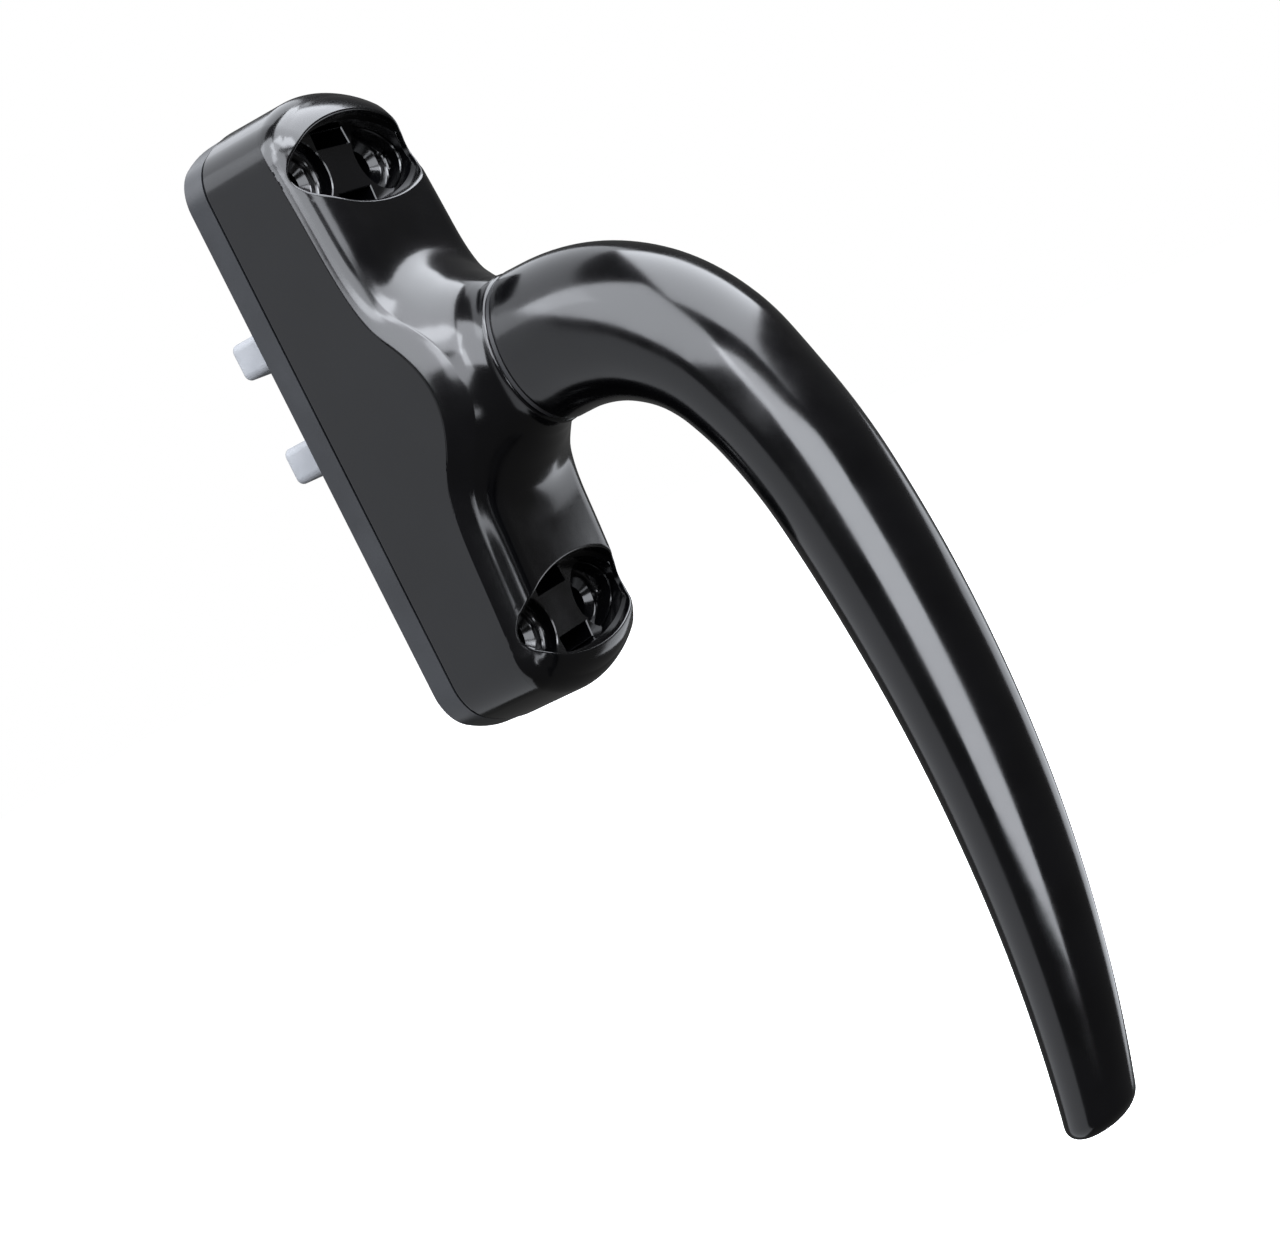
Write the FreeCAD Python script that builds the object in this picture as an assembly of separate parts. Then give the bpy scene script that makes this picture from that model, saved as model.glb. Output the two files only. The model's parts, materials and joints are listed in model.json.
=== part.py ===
import FreeCAD, Part
import math
import os
from FreeCAD import Vector

# Tilt and turn window handle.  Millimetres, +Z up along the base, -Y towards the room.
# Origin: where the spindle axis meets the back (mounting) face of the base.

os.makedirs("parts", exist_ok=True)

# ---- base ----
base_half_width = 18.0
base_half_length = 52.3
base_corner_radius = 8.0
base_end_radius = 29.0
plate_thickness = 4.0
seam_gap = 0.1
wall_lean = 0.045
side_wall_height = 19.5
side_wall_slope = 0.05
side_wall_end_fall = 1.4
# Rise of the shoulder above the side wall against the distance in from the wall.
shoulder = [(0, 0), (0.12, 0.45), (0.4, 0.95), (0.9, 1.55), (1.5, 2.1), (2.3, 2.65), (3.2, 3.3),
            (4.2, 3.85), (5.4, 4.2), (7.0, 4.35)]
arm_crown_rise = 0.5
end_crown_rise = 3.1
end_edge_radius = 4.4
neck_edge_radius = 2.4
neck_radius = 12.5
neck_height = 35.4

# ---- screw recesses ----
screw_spacing = 78.8
screw_offset = 9.8
screw_seat_radius = 5.63
screw_seat_height = 14.4
screw_sink_radius = 3.9
screw_hole_radius = 2.7
recess_spacing = 77.6
recess_half_width = 16.3
recess_half_height = 7.4
recess_step_height = 19.6
recess_floor_height = 17.4
recess_well_width = 15.7
recess_well_height = 6.9
clip_slot_half_width = 4.4
clip_slot_inner = 3.8
clip_slot_outer = 6.5
clip_slot_depth = 8.0

# ---- gearbox ----
cavity_half_width = 12.6
cavity_half_length = 27.0
cavity_height = 18.0
sleeve_outer_radius = 8.0
sleeve_bore_radius = 6.03
journal_radius = 5.98
lever_square = 7.0
gear_square = 6.0
plate_screw_x = 14.0
plate_screw_z = 30.0
gear_module = 1.0
gear_teeth = 13
gear_bottom = 7.6
gear_top = 11.6
pressure_angle = math.radians(20)
gear_addendum = 0.9
gear_root_radius = 5.4
rack_addendum = 0.7
tooth_backlash = 0.12
disc_radius = 10.2
disc_bottom = 13.6
disc_top = 16.9
plunger_height = 15.2
plunger_radius = 1.9
pitch_radius = gear_module * gear_teeth / 2
stroke = math.pi * pitch_radius
carriage_rest_z = stroke / 2
prong_spacing = 19.0
prong_half_width = 4.6
prong_half_height = 3.2
prong_reach = 16.4
rivet_x = -9.9
rivet_places = (carriage_rest_z - 9.0, carriage_rest_z + 9.0)

# ---- lever ----
lever_start = 36.2
stub_length = 3.3
bend_radius = 27.6
bend_angle = 66.7
shoulder_radius = 90.0
shoulder_angle = 15.0
grip_radius = 263.0
grip_angle = 24.2
# Half thickness of the grip against the distance along it; the root is round, the grip is wider.
grip_stations = [(0, 12.45), (9, 12.3), (20, 11.7), (31, 10.7), (44, 9.8), (75, 9.35),
                 (110, 8.3), (140, 7.0), (166.5, 5.75)]
grip_aspect = 1.15
tip_fillet = 2.6
tip_depth = 65.5
tip_z = -144.8
tip_slope = 9.0


def save(node, shape):
    shape.exportStep("parts/" + node + ".step")


def ypoint(x, height, z):
    return Vector(x, -height, z)


def box(x0, x1, h0, h1, z0, z1):
    # Box between two depths h0 < h1 measured from the back face towards the room.
    return Part.makeBox(x1 - x0, h1 - h0, z1 - z0, Vector(x0, -h1, z0))


def rod(radius, h0, h1, x=0.0, z=0.0):
    return Part.makeCylinder(radius, h1 - h0, Vector(x, -h0, z), Vector(0, -1, 0))


def tube(outer, inner, h0, h1, x=0.0, z=0.0):
    return rod(outer, h0, h1, x, z).cut(rod(inner, h0 - 1, h1 + 1, x, z))


def cone(r0, r1, h0, h1, x=0.0, z=0.0):
    return Part.makeCone(r0, r1, h1 - h0, Vector(x, -h0, z), Vector(0, -1, 0))


def ellipse_prism(half_x, half_z, h0, h1, z):
    # Part.Ellipse takes the long half axis first, which lies along X here.
    curve = Part.Ellipse(ypoint(half_x, h0, z), ypoint(0, h0, z + half_z), ypoint(0, h0, z))
    face = Part.Face(Part.Wire([curve.toShape()]))
    return face.extrude(Vector(0, -(h1 - h0), 0))


def plan_outline(inset=0.0):
    # Rounded rectangle whose ends bulge slightly, as one closed wire at the back face.
    a = base_half_width - inset
    b = base_half_length - inset
    r = base_corner_radius - inset
    end = base_end_radius - inset
    centre = b - end
    corner_x = a - r
    corner_z = centre + math.sqrt((end - r) ** 2 - corner_x ** 2)
    reach = end / (end - r)
    join = (corner_x * reach, centre + (corner_z - centre) * reach)
    diagonal = math.atan2(corner_z - centre, corner_x) / 2
    middle = (corner_x + r * math.cos(diagonal), corner_z + r * math.sin(diagonal))
    edges = []
    for side in (1, -1):
        def p(x, z):
            return Vector(side * x, 0, side * z)
        edges.append(Part.LineSegment(p(a, -corner_z), p(a, corner_z)).toShape())
        edges.append(Part.Arc(p(a, corner_z), p(*middle), p(*join)).toShape())
        edges.append(Part.Arc(p(*join), p(0, b), p(-join[0], join[1])).toShape())
        edges.append(Part.Arc(p(-join[0], join[1]), p(-middle[0], middle[1]),
                              p(-a, corner_z)).toShape())
    return Part.Wire(Part.__sortEdges__(edges))


def plan_prism(h0, h1, inset=0.0):
    face = Part.Face(plan_outline(inset))
    face.translate(Vector(0, -h0, 0))
    return face.extrude(Vector(0, -(h1 - h0), 0))


def leaning_block(height):
    # The plan outline drawn out from the back plate with walls that lean slightly inwards.
    foot = plan_outline()
    foot.translate(Vector(0, -plate_thickness, 0))
    top = plan_outline(wall_lean * (height - plate_thickness))
    top.translate(Vector(0, -height, 0))
    return Part.makeLoft([foot, top], True, True)


def smoothstep(x):
    x = min(max(x, 0.0), 1.0)
    return x * x * (3 - 2 * x)


def crown_height(x, z, from_side, rise, wall):
    # Shouldered along the arms, turning into a plain large rounding at the ends.
    near_end = smoothstep((abs(z) - 40) / 10)
    beyond = max(0.0, (abs(z) - 38.0) / 12.0)
    dome = end_crown_rise * (1 - min(1.0, (x / 17.4) ** 2 + beyond ** 2))
    edge = min(from_side, base_half_length - wall_lean * (wall - plate_thickness) - abs(z))
    below = max(0.0, end_edge_radius - max(edge, 0.0))
    dome += math.sqrt(end_edge_radius ** 2 - below ** 2)
    arm = rise + arm_crown_rise * (1 - (x / 17.4) ** 2)
    return wall + dome * near_end + arm * (1 - near_end)


def arch_section(z):
    # One cross-section: leaning side walls, shoulders and a nearly level crown.
    wall = side_wall_height - side_wall_slope * abs(z)
    wall -= side_wall_end_fall * (abs(z) / base_half_length) ** 6
    edge = base_half_width - wall_lean * (wall - plate_thickness) + 0.02
    top = []
    for inwards, rise in shoulder:
        x = edge - inwards
        top.append((x, crown_height(x, z, inwards, rise, wall)))
    level = shoulder[-1][1]
    middle = [(x, crown_height(x, z, base_half_width, level, wall)) for x in (5.0, 0.0, -5.0)]
    top = top + middle + [(-x, h) for x, h in reversed(top)]
    curve = Part.BSplineCurve()
    curve.interpolate([ypoint(x, h, z) for x, h in top])
    foot = base_half_width + 0.02
    right_foot = ypoint(foot, 0, z)
    left_foot = ypoint(-foot, 0, z)
    edges = [Part.LineSegment(right_foot, ypoint(*top[0], z)).toShape(),
             curve.toShape(),
             Part.LineSegment(ypoint(*top[-1], z), left_foot).toShape(),
             Part.LineSegment(left_foot, right_foot).toShape()]
    return Part.Wire(edges)


def neck_flare():
    # Trumpet shape turned about the spindle axis, running out into the side walls.
    profile = [(42, 13.2), (33.6, 16.2), (26.2, 18.9), (21.3, 22.0), (18.2, 25.6), (15.6, 28.6),
               (13.5, 31.6), (12.6, 34.2), (12.5, 35.4)]
    curve = Part.BSplineCurve()
    curve.interpolate([Vector(0, -h, r) for r, h in profile])
    corners = [Vector(0, -neck_height, neck_radius), Vector(0, -neck_height, 0), Vector(0, 0, 0),
               Vector(0, 0, 42), Vector(0, -13.2, 42)]
    edges = [curve.toShape()]
    for start, stop in zip(corners, corners[1:]):
        edges.append(Part.LineSegment(start, stop).toShape())
    face = Part.Face(Part.Wire(Part.__sortEdges__(edges)))
    return face.revolve(Vector(0, 0, 0), Vector(0, 1, 0), 360)


def screw_recess(side):
    # Everything removed at one end of the base for its pair of fixing screws.
    z = side * recess_spacing / 2
    screw_z = side * screw_spacing / 2
    well = ellipse_prism(recess_well_width, recess_well_height, 0, recess_step_height + 0.1, z)
    cut = ellipse_prism(recess_half_width, recess_half_height, recess_step_height, 40, z)
    deep = rod(0.1, recess_floor_height, recess_floor_height + 0.1, 0, z)
    for x in (-screw_offset, screw_offset):
        deep = deep.fuse(rod(screw_seat_radius, screw_seat_height, recess_floor_height + 0.1,
                             x, screw_z))
        sink = screw_sink_radius - screw_hole_radius
        deep = deep.fuse(cone(screw_hole_radius, screw_sink_radius, screw_seat_height - sink,
                              screw_seat_height + 0.001, x, screw_z))
        deep = deep.fuse(rod(screw_hole_radius, 0, screw_seat_height, x, screw_z))
    for end in (-1, 1):
        near = z + end * clip_slot_inner
        far = z + end * clip_slot_outer
        deep = deep.fuse(box(-clip_slot_half_width, clip_slot_half_width,
                             recess_floor_height - clip_slot_depth, recess_floor_height + 0.1,
                             min(near, far), max(near, far)))
    cut = cut.fuse(well.cut(box(-40, 40, -1, recess_floor_height, -80, 80)))
    return cut.fuse(deep.common(well))


def four_places(x, z):
    return [(sx * x, sz * z) for sx in (-1, 1) for sz in (-1, 1)]


def make_housing():
    # Crowned body and neck flare in one, hollow for the gearbox, open at the back.
    stations = [0, 12, 24, 34, 41, 44, 46.5, 48.5, 50, 51, base_half_length]
    stations = [-z for z in reversed(stations[1:])] + stations
    arch = Part.makeLoft([arch_section(z) for z in stations], True, False)
    outer = leaning_block(60.0)
    flare = neck_flare().common(outer)
    side_edges = [e for e in flare.Edges
                  if abs(e.CenterOfMass.x) > base_half_width - 2.0
                  and e.CenterOfMass.y < -14 and e.Length > 20]
    flare = flare.makeFillet(neck_edge_radius, side_edges)
    body = arch.common(outer).fuse(flare)
    body = body.cut(box(-40, 40, -1, plate_thickness + seam_gap, -80, 80))
    for side in (-1, 1):
        body = body.cut(screw_recess(side))
    body = body.cut(box(-cavity_half_width, cavity_half_width, 0, cavity_height,
                        -cavity_half_length, cavity_half_length))
    body = body.cut(rod(sleeve_outer_radius + 0.02, cavity_height - 1, neck_height + 1))
    for x, z in four_places(plate_screw_x, plate_screw_z):
        body = body.cut(rod(1.25, 0, 12.6, x, z))
    for side in (-1, 1):
        hole = Part.makeCylinder(plunger_radius + 0.05, 4.0,
                                 Vector(side * (cavity_half_width - 0.1), -plunger_height, 0),
                                 Vector(side, 0, 0))
        body = body.cut(hole)
    return body.removeSplitter()


def make_back_plate():
    # Flat cover behind the housing with the long slot that the prongs slide in.
    plate = plan_prism(0, plate_thickness, 0.15)
    slot_z = carriage_rest_z + prong_spacing / 2 + prong_half_height + 0.6
    slot = box(-prong_half_width - 0.5, prong_half_width + 0.5, -1, plate_thickness + 1, -slot_z, slot_z)
    slot = slot.makeFillet(2.0, [e for e in slot.Edges if e.Length < plate_thickness + 2.01
                                 and abs(e.tangentAt(e.FirstParameter).y) > 0.9])
    plate = plate.cut(slot)
    for x, z in four_places(screw_offset, screw_spacing / 2):
        plate = plate.cut(rod(screw_hole_radius, -1, plate_thickness + 1, x, z))
    for x, z in four_places(plate_screw_x, plate_screw_z):
        plate = plate.cut(rod(1.6, -1, plate_thickness + 1, x, z))
        plate = plate.cut(cone(3.0, 1.6, 0, 1.5, x, z))
        plate = plate.cut(rod(3.0, -1, 0.01, x, z))
    return plate


def make_plate_screws():
    screws = []
    for x, z in four_places(plate_screw_x, plate_screw_z):
        head = cone(2.7, 1.35, 0.2, 1.6, x, z)
        shank = rod(1.2, 1.5, 11.8, x, z)
        cross = box(x - 1.4, x + 1.4, 0.1, 0.9, z - 0.25, z + 0.25)
        cross = cross.fuse(box(x - 0.25, x + 0.25, 0.1, 0.9, z - 1.4, z + 1.4))
        screws.append(head.fuse(shank).cut(cross))
    return Part.makeCompound(screws)


def gear_face():
    # Involute flanks above the base circle, straight sides below it.
    base = pitch_radius * math.cos(pressure_angle)
    tip = pitch_radius + gear_addendum
    half_pitch_angle = (math.pi * gear_module / 2 - tooth_backlash) / (2 * pitch_radius)
    inv_pitch = math.tan(pressure_angle) - pressure_angle

    def flank_angle(radius):
        phi = math.acos(min(1.0, base / radius))
        return half_pitch_angle + inv_pitch - (math.tan(phi) - phi)

    def at(radius, angle):
        return Vector(radius * math.cos(angle), 0, radius * math.sin(angle))

    edges = []
    radii = [base + (tip - base) * i / 5.0 for i in range(6)]
    pitch = 2 * math.pi / gear_teeth
    for tooth in range(gear_teeth):
        middle = math.pi + tooth * pitch
        rising = [at(r, middle - flank_angle(r)) for r in radii]
        falling = [at(r, middle + flank_angle(r)) for r in reversed(radii)]
        foot_in = at(gear_root_radius, middle - flank_angle(base))
        foot_out = at(gear_root_radius, middle + flank_angle(base))
        next_foot = at(gear_root_radius, middle + pitch - flank_angle(base))
        root_middle = at(gear_root_radius, middle + pitch / 2)
        edges.append(Part.LineSegment(foot_in, rising[0]).toShape())
        for points in (rising, falling):
            curve = Part.BSplineCurve()
            curve.interpolate(points)
            edges.append(curve.toShape())
        edges.append(Part.Arc(rising[-1], at(tip, middle), falling[0]).toShape())
        edges.append(Part.LineSegment(falling[-1], foot_out).toShape())
        edges.append(Part.Arc(foot_out, root_middle, next_foot).toShape())
    return Part.Face(Part.Wire(Part.__sortEdges__(edges)))


def square_bar(side, h0, h1):
    return box(-side / 2, side / 2, h0, h1, -side / 2, side / 2)


def make_pinion():
    face = gear_face()
    face.translate(Vector(0, -gear_bottom, 0))
    gear = face.extrude(Vector(0, -(gear_top - gear_bottom), 0))
    gear = gear.fuse(rod(5.2, gear_top - 0.1, disc_bottom - 0.1))
    return gear.cut(square_bar(gear_square + 0.04, 5, 18)).removeSplitter()


def make_detent_disc():
    # Round plate with four shallow notches, one at each quarter turn.
    disc = rod(disc_radius, disc_bottom, disc_top)
    for quarter in range(4):
        angle = quarter * math.pi / 2
        x = (disc_radius + 1.1) * math.cos(angle)
        z = (disc_radius + 1.1) * math.sin(angle)
        disc = disc.cut(rod(1.95, disc_bottom - 1, disc_top + 1, x, z))
    return disc.cut(square_bar(gear_square + 0.04, 5, 18))


def make_rack_bar():
    # Straight teeth on the pinion's -X side; a tooth space faces the pinion tooth at rest.
    pitch = math.pi * gear_module
    line = -pitch_radius
    tip = line + rack_addendum
    root = line - gear_addendum - 0.25
    half = 13.4
    slope = math.tan(pressure_angle)
    quarter = pitch / 4 - tooth_backlash / 4
    bar = box(-11.8, root, 6.35, gear_top, carriage_rest_z - half, carriage_rest_z + half)
    first = math.ceil((carriage_rest_z - half + 1.5) / pitch - 0.5)
    last = math.floor((carriage_rest_z + half - 1.5) / pitch - 0.5)
    for k in range(first, last + 1):
        z = (k + 0.5) * pitch
        wide = quarter + slope * (line - root + 0.2)
        thin = quarter - slope * (tip - line)
        corners = [(root - 0.2, z - wide), (tip, z - thin), (tip, z + thin), (root - 0.2, z + wide)]
        points = [ypoint(x, gear_bottom, zz) for x, zz in corners]
        face = Part.Face(Part.makePolygon(points + [points[0]]))
        bar = bar.fuse(face.extrude(Vector(0, -(gear_top - gear_bottom), 0)))
    for z in rivet_places:
        bar = bar.cut(rod(1.05, 6, 12, rivet_x, z))
    return bar.removeSplitter()


def make_rack_rivets():
    # Plain pins, flush with the rack, that hold it to the carriage.
    rivets = []
    for z in rivet_places:
        rivets.append(rod(1.0, 4.5, gear_top, rivet_x, z))
    return Part.makeCompound(rivets)


def make_carriage():
    # Flat plate just inside the back plate, with a window for the tenon of each prong.
    plate = box(-11.8, 7.4, 4.3, 6.3, carriage_rest_z - 14.4, carriage_rest_z + 14.4)
    plate = plate.makeChamfer(1.5, [e for e in plate.Edges if abs(e.Length - 2.0) < 0.01])
    for side in (-1, 1):
        z = carriage_rest_z + side * prong_spacing / 2
        plate = plate.cut(box(-3.1, 3.1, 4, 7, z - 2.1, z + 2.1))
    for z in rivet_places:
        plate = plate.cut(rod(1.05, 4, 7, rivet_x, z))
    return plate


def make_prong(side):
    # Rounded block through the slot in the back plate, held by a tenon in the carriage.
    z = carriage_rest_z + side * prong_spacing / 2
    block = box(-prong_half_width, prong_half_width, -prong_reach, 4.25,
                z - prong_half_height, z + prong_half_height)
    long_edges = [e for e in block.Edges if abs(e.tangentAt(e.FirstParameter).y) > 0.9]
    block = block.makeFillet(1.3, long_edges)
    tip_edges = [e for e in block.Edges if e.BoundBox.YMin > prong_reach - 0.01]
    block = block.makeFillet(0.9, tip_edges)
    return block.fuse(box(-3.0, 3.0, 4.2, 6.3, z - 2.0, z + 2.0)).removeSplitter()


def make_spindle():
    # Square under the lever, round in the sleeve, smaller square through the gear parts.
    bar = square_bar(lever_square, neck_height, 54.0)
    bar = bar.fuse(rod(journal_radius, 17.05, 36.0))
    bar = bar.fuse(square_bar(gear_square, 6.5, 17.1))
    groove = tube(6.0, 2.75, 6.75, 7.5)
    return bar.cut(groove).removeSplitter()


def make_retaining_clip():
    # Open ring in the spindle's groove, below the pinion.
    ring = tube(4.7, 2.8, 6.8, 7.45)
    return ring.cut(box(-1.4, 1.4, 6, 8, 0, 6))


def make_coil_spring(side):
    # Short open coil behind one plunger.
    start = cavity_half_width + 1.15
    length = 2.15
    wire = 0.26
    helix = Part.makeHelix(length / 3.5, length, 1.3)
    profile = Part.Wire([Part.Circle(Vector(1.3, 0, 0), Vector(0, 1, 0), wire).toShape()])
    coil = Part.Wire(helix).makePipeShell([profile], True, True)
    coil.rotate(Vector(0, 0, 0), Vector(0, 1, 0), 90 * side)
    coil.translate(Vector(side * (start + wire), -plunger_height, 0))
    return coil


def make_plunger(side):
    # Ball-ended pin, drawn lifted to the full radius of the notched disc.
    nose = disc_radius + 0.08
    centre = nose + plunger_radius
    ball = Part.makeSphere(plunger_radius, Vector(side * centre, -plunger_height, 0))
    shank = Part.makeCylinder(plunger_radius, cavity_half_width + 1.0 - centre,
                              Vector(side * centre, -plunger_height, 0), Vector(side, 0, 0))
    keep = Part.makeCylinder(plunger_radius + 1, 8, Vector(side * (nose - 1), -plunger_height, 0),
                             Vector(side, 0, 0))
    pin = ball.fuse(shank).common(keep)
    beyond = Part.makeBox(6, 8, 8, Vector(min(side * (cavity_half_width + 1.0),
                                              side * (cavity_half_width + 7.0)),
                                          -plunger_height - 4, -4))
    return pin.cut(beyond).removeSplitter()


def centre_line(distance):
    # Point and heading on the lever's centre line; heading 0 points to the room, 90 points down.
    height = lever_start
    z = 0.0
    heading = 0.0
    pieces = [(stub_length, 0.0),
              (bend_radius * math.radians(bend_angle), 1 / bend_radius),
              (shoulder_radius * math.radians(shoulder_angle), 1 / shoulder_radius),
              (grip_radius * math.radians(grip_angle), 1 / grip_radius)]
    left = distance
    for length, curvature in pieces:
        step = max(0.0, min(left, length))
        if curvature == 0.0:
            height += step * math.cos(heading)
            z -= step * math.sin(heading)
        else:
            turned = heading + step * curvature
            height += (math.sin(turned) - math.sin(heading)) / curvature
            z -= (math.cos(heading) - math.cos(turned)) / curvature
            heading = turned
        left -= step
    return height, z, heading


def lever_length():
    return (stub_length + bend_radius * math.radians(bend_angle)
            + shoulder_radius * math.radians(shoulder_angle)
            + grip_radius * math.radians(grip_angle))


def blend(value, table):
    # Straight-line interpolation in a table of (position, value) pairs.
    for (x0, y0), (x1, y1) in zip(table, table[1:]):
        if value <= x1:
            t = (value - x0) / (x1 - x0)
            return y0 + (y1 - y0) * t
    return table[-1][1]


def lever_section(distance):
    height, z, heading = centre_line(distance)
    half_thick = blend(distance, grip_stations)
    widen = 1 + (grip_aspect - 1) * min(1.0, max(0.0, (distance - 8) / 40.0))
    half_wide = half_thick * widen + 0.001
    centre = Vector(0, -height, z)
    across = Vector(0, math.sin(heading), -math.cos(heading))
    curve = Part.Ellipse(centre + Vector(half_wide, 0, 0), centre + across * half_thick, centre)
    return Part.Wire([Part.Arc(curve, 0.0, math.pi).toShape(),
                      Part.Arc(curve, math.pi, 2 * math.pi).toShape()])


def make_lever():
    length = lever_length()
    distances = [0, 3.3, 9, 15, 21, 27, 33, 40, 48, 60, 75, 92, 110, 128, 145, 157, length]
    grip = Part.makeLoft([lever_section(d) for d in distances], True, False)
    # The blunt end is cut nearly level, falling a little towards the base.
    tip = Vector(0, -tip_depth, tip_z)
    slope = Vector(0, math.sin(math.radians(tip_slope)), math.cos(math.radians(tip_slope)))
    waste = Part.makeCylinder(40, 30, tip, slope * -1)
    grip = grip.cut(waste)
    tip_edges = [e for e in grip.Edges if abs(slope.dot(e.valueAt(e.FirstParameter) - tip)) < 0.01
                 and abs(slope.dot(e.CenterOfMass - tip)) < 0.01]
    grip = grip.makeFillet(tip_fillet, tip_edges)
    grip = grip.cut(square_bar(lever_square + 0.06, 30, 54.3))
    screw_hole = Part.makeCylinder(2.1, 20, Vector(0, -45, -lever_square / 2 + 0.5), Vector(0, 0, -1))
    return grip.cut(screw_hole)


def make_grub_screw():
    # Pointless set screw from below, tight against the spindle, with a hexagon socket.
    top = -lever_square / 2 - 0.05
    screw = Part.makeCylinder(2.05, 6.0, Vector(0, -45, top), Vector(0, 0, -1))
    socket = Part.Face(Part.makePolygon([Vector(1.3 * math.cos(math.radians(60 * i)),
                                                -45 + 1.3 * math.sin(math.radians(60 * i)),
                                                top - 6.1) for i in range(7)]))
    return screw.cut(socket.extrude(Vector(0, 0, 2.6)))


save("base_housing", make_housing())
save("back_plate", make_back_plate())
save("plate_screws", make_plate_screws())
save("neck_sleeve", tube(sleeve_outer_radius, sleeve_bore_radius, cavity_height + 0.1, neck_height))
save("slip_ring", tube(12.1, 8.3, neck_height + 0.02, lever_start - 0.12))
save("detent_plunger_left", make_plunger(-1))
save("detent_plunger_right", make_plunger(1))
save("detent_spring_left", make_coil_spring(-1))
save("detent_spring_right", make_coil_spring(1))
save("lever", make_lever())
save("grub_screw", make_grub_screw())
save("spindle", make_spindle())
save("pinion", make_pinion())
save("detent_disc", make_detent_disc())
save("thrust_washer", tube(9.6, 6.15, disc_top + 0.03, cavity_height - 0.1))
save("retaining_clip", make_retaining_clip())
save("carriage", make_carriage())
save("rack_bar", make_rack_bar())
save("rack_rivets", make_rack_rivets())
save("prong_upper", make_prong(1))
save("prong_lower", make_prong(-1))
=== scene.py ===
import json
import math

import bmesh
import bpy
from mathutils import Matrix, Vector
from mathutils.geometry import delaunay_2d_cdt


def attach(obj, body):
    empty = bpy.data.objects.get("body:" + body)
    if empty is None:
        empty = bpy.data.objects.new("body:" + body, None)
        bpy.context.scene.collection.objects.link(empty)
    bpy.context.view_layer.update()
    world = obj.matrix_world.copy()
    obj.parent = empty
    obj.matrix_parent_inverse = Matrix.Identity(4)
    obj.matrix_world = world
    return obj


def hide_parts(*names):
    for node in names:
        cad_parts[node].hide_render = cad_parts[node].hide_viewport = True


# The looks of a tilt turn handle. The two painted castings, the base housing and the lever, get finer
# meshes than the CAD model's; every other piece keeps its CAD mesh. Shapes are worked out in
# millimetres as (x, height, z), where the height runs from the back face towards the room (-Y).

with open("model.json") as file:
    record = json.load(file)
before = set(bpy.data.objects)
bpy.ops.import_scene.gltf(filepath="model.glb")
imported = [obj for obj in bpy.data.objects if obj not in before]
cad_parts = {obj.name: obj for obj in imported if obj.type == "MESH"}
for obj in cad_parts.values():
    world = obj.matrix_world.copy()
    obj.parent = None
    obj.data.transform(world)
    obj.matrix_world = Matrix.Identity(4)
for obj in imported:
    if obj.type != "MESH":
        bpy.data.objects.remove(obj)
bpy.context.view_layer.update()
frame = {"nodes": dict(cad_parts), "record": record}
nodes = frame["nodes"]
MM = 0.001


# ---------------------------------------------------------------- materials

def new_material(name):
    mat = bpy.data.materials.new(name)
    mat.use_nodes = True
    tree = mat.node_tree
    return mat, tree, tree.nodes["Principled BSDF"]


def noise(tree, scale, detail=3.0, stretch=None):
    # Noise in the object's own metres, so it stays put on the piece.
    coords = tree.nodes.new("ShaderNodeTexCoord")
    texture = tree.nodes.new("ShaderNodeTexNoise")
    texture.inputs["Scale"].default_value = scale
    texture.inputs["Detail"].default_value = detail
    source = coords.outputs["Object"]
    if stretch:
        mapping = tree.nodes.new("ShaderNodeMapping")
        mapping.inputs["Scale"].default_value = stretch
        tree.links.new(source, mapping.inputs["Vector"])
        source = mapping.outputs["Vector"]
    tree.links.new(source, texture.inputs["Vector"])
    return texture.outputs["Fac"]


def ramp(tree, source, low, high, start=0.35, end=0.65):
    node = tree.nodes.new("ShaderNodeMapRange")
    node.inputs["From Min"].default_value = start
    node.inputs["From Max"].default_value = end
    node.inputs["To Min"].default_value = low
    node.inputs["To Max"].default_value = high
    tree.links.new(source, node.inputs["Value"])
    return node.outputs["Result"]


def tint(tree, source, dark, light):
    node = tree.nodes.new("ShaderNodeMix")
    node.data_type = "RGBA"
    node.inputs["A"].default_value = (*dark, 1)
    node.inputs["B"].default_value = (*light, 1)
    tree.links.new(source, node.inputs["Factor"])
    return node.outputs["Result"]


def bump(tree, source, strength, distance, normal=None):
    node = tree.nodes.new("ShaderNodeBump")
    node.inputs["Strength"].default_value = strength
    node.inputs["Distance"].default_value = distance
    tree.links.new(source, node.inputs["Height"])
    if normal is not None:
        tree.links.new(normal, node.inputs["Normal"])
    return node.outputs["Normal"]


def coated(name, dark, light, rough, relief, grain_scale=2600.0):
    # Sprayed or cast surface: the colour varies a little, and relief gives the strengths of a slow
    # ripple and of a fine grain.
    mat, tree, shader = new_material(name)
    cloud = noise(tree, 90.0)
    tree.links.new(tint(tree, ramp(tree, cloud, 0, 1), dark, light), shader.inputs["Base Color"])
    tree.links.new(ramp(tree, noise(tree, 160.0, 5.0), *rough), shader.inputs["Roughness"])
    ripple = bump(tree, noise(tree, 420.0, 1.0), relief[0], 0.00012)
    tree.links.new(bump(tree, noise(tree, grain_scale, 2.0), relief[1], 0.00003, ripple),
                   shader.inputs["Normal"])
    return mat


def metal(name, dark, light, rough, stretch, scratch):
    # Bare or plated metal with fine lines along the axis that stretch makes small.
    mat, tree, shader = new_material(name)
    shader.inputs["Metallic"].default_value = 1.0
    tree.links.new(tint(tree, ramp(tree, noise(tree, 120.0), 0, 1), dark, light),
                   shader.inputs["Base Color"])
    lines = noise(tree, 900.0, 4.0, stretch)
    tree.links.new(ramp(tree, lines, *rough), shader.inputs["Roughness"])
    tree.links.new(bump(tree, lines, scratch, 0.00003), shader.inputs["Normal"])
    return mat


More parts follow.
